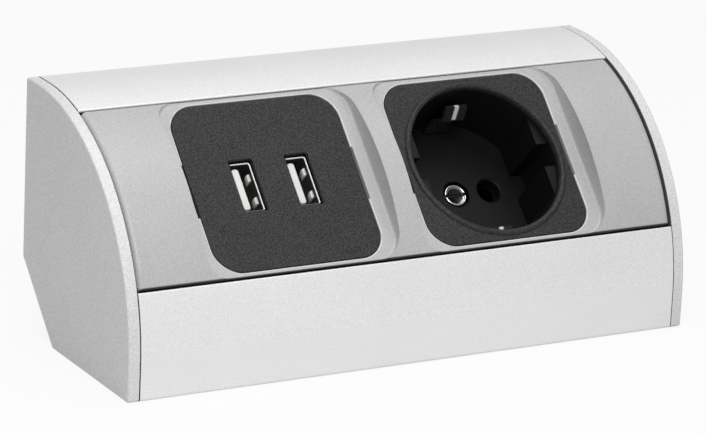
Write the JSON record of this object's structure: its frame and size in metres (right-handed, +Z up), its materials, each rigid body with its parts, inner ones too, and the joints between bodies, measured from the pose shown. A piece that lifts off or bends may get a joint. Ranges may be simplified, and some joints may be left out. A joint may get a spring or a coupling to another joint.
{
  "type": "furniture power socket",
  "caption": "Corner power unit for furniture: quarter-round aluminium housing with end caps, an upright USB charger module and an earthed socket module.",
  "frame": {"origin": "centre of the footprint, on the surface that it stands on", "axes": "+X along the unit from the charger to the socket, +Y from the front to the back, +Z up"},
  "size_m": [0.153, 0.06, 0.063],
  "materials": {
    "anodised_aluminium": "satin anodised",
    "silver_cap_plastic": "silver-grey, fine moulded texture",
    "light_grey_cover_plastic": "light grey, fine moulded texture",
    "anthracite_plastic": "dark grey, fine moulded texture",
    "black_plastic": "black, satin",
    "nickel_plated_steel": "nickel plated",
    "white_insulator": "white, smooth",
    "gold_contact": "gold plated",
    "contact_brass": "bright brass",
    "board_laminate": "green lacquered laminate",
    "ferrite": "dull grey",
    "winding_tape": "yellow tape",
    "can_sleeve": "black sleeve",
    "terminal_plastic": "grey",
    "zinc_plated_steel": "zinc plated",
    "brown_insulation": "brown insulation",
    "blue_insulation": "blue insulation",
    "earth_insulation": "green and yellow insulation",
    "tinned_copper": "tinned",
    "grommet_rubber": "black rubber"
  },
  "bodies": {
    "root": {"housing_profile": "anodised_aluminium", "left_end_cap": "silver_cap_plastic", "right_end_cap": "silver_cap_plastic", "front_cover": "light_grey_cover_plastic", "charger_face": "anthracite_plastic", "charger_housing": "black_plastic", "usb_shell_left": "nickel_plated_steel", "usb_shell_right": "nickel_plated_steel", "usb_tongue_left": "white_insulator", "usb_tongue_right": "white_insulator", "usb_contacts_left": "gold_contact", "usb_contacts_right": "gold_contact", "charger_circuit_board": "board_laminate", "transformer_core": "ferrite", "transformer_winding": "winding_tape", "input_capacitor": "can_sleeve", "output_capacitor": "can_sleeve", "controller_chip": "black_plastic", "charger_terminal_block": "terminal_plastic", "charger_terminal_screws": "zinc_plated_steel", "socket_face": "anthracite_plastic", "socket_base": "black_plastic", "earth_clip": "nickel_plated_steel", "live_contact": "contact_brass", "neutral_contact": "contact_brass", "socket_centre_screw": "zinc_plated_steel", "socket_terminal_screws": "zinc_plated_steel", "live_link_wire": "brown_insulation", "neutral_link_wire": "blue_insulation", "earth_link_wire": "earth_insulation", "earth_tag": "tinned_copper", "earth_screw": "zinc_plated_steel", "cable_grommet": "grommet_rubber"}
  },
  "joints": []
}
